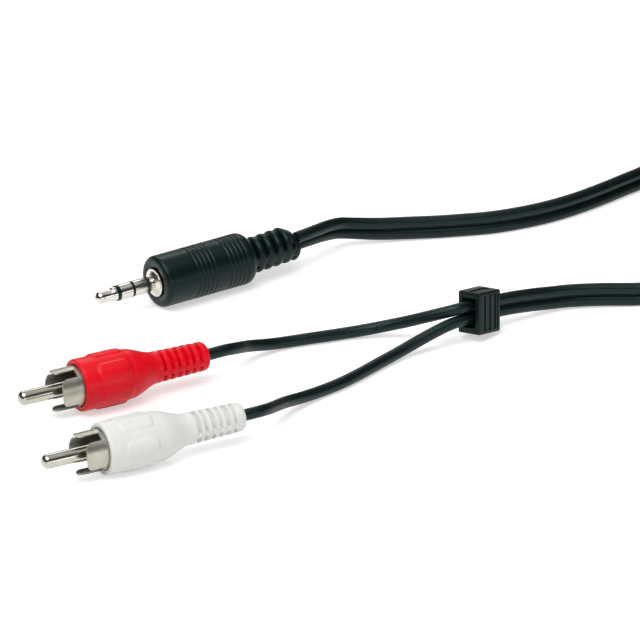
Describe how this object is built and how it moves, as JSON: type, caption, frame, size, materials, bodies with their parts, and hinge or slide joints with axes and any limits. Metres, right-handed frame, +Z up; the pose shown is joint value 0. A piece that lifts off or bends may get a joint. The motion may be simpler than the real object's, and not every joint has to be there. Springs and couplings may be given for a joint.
{
  "type": "audio adapter cable",
  "caption": "Audio adapter cable: a stereo mini jack on a flat twin cable, a splitter block, and single leads to a red and a white phono plug, with the spare length in a tied coil.",
  "frame": {"origin": "centre of the box of the plugs and the splitter block, on the surface that they lie on", "axes": "+X along the plugs from their tips towards the cable, +Y from the white plug towards the jack, +Z up"},
  "size_m": [0.2465, 0.0857, 0.012],
  "materials": {
    "nickel": "bright nickel plating on turned and stamped brass",
    "brass": "plain stamped brass",
    "black_pvc": "satin moulded PVC",
    "black_insulator": "smooth moulded ring",
    "red_pvc": "satin moulded PVC",
    "red_insulator": "smooth moulding",
    "white_pvc": "satin moulded PVC",
    "white_insulator": "smooth moulding",
    "inner_moulding": "rough inner moulding, not seen",
    "cable_sheath": "soft satin PVC sheath",
    "tie": "flat ribbon tie"
  },
  "bodies": {
    "root": {"cable_coil": "cable_sheath", "coil_tie": "tie", "jack_housing": "black_pvc", "jack_inner_mould": "inner_moulding", "jack_ring": "nickel", "jack_ring_insulator": "black_insulator", "jack_ring_lug": "brass", "jack_sleeve": "nickel", "jack_sleeve_lug": "brass", "jack_tip": "nickel", "jack_tip_insulator": "black_insulator", "jack_tip_lug": "brass", "red_collar": "nickel", "red_housing": "red_pvc", "red_inner_mould": "inner_moulding", "red_insulator": "red_insulator", "red_lead": "cable_sheath", "red_pin": "nickel", "splitter_block": "black_pvc", "twin_cable": "cable_sheath", "twin_cable_tail": "cable_sheath", "white_collar": "nickel", "white_housing": "white_pvc", "white_inner_mould": "inner_moulding", "white_insulator": "white_insulator", "white_lead": "cable_sheath", "white_pin": "nickel"}
  },
  "joints": []
}
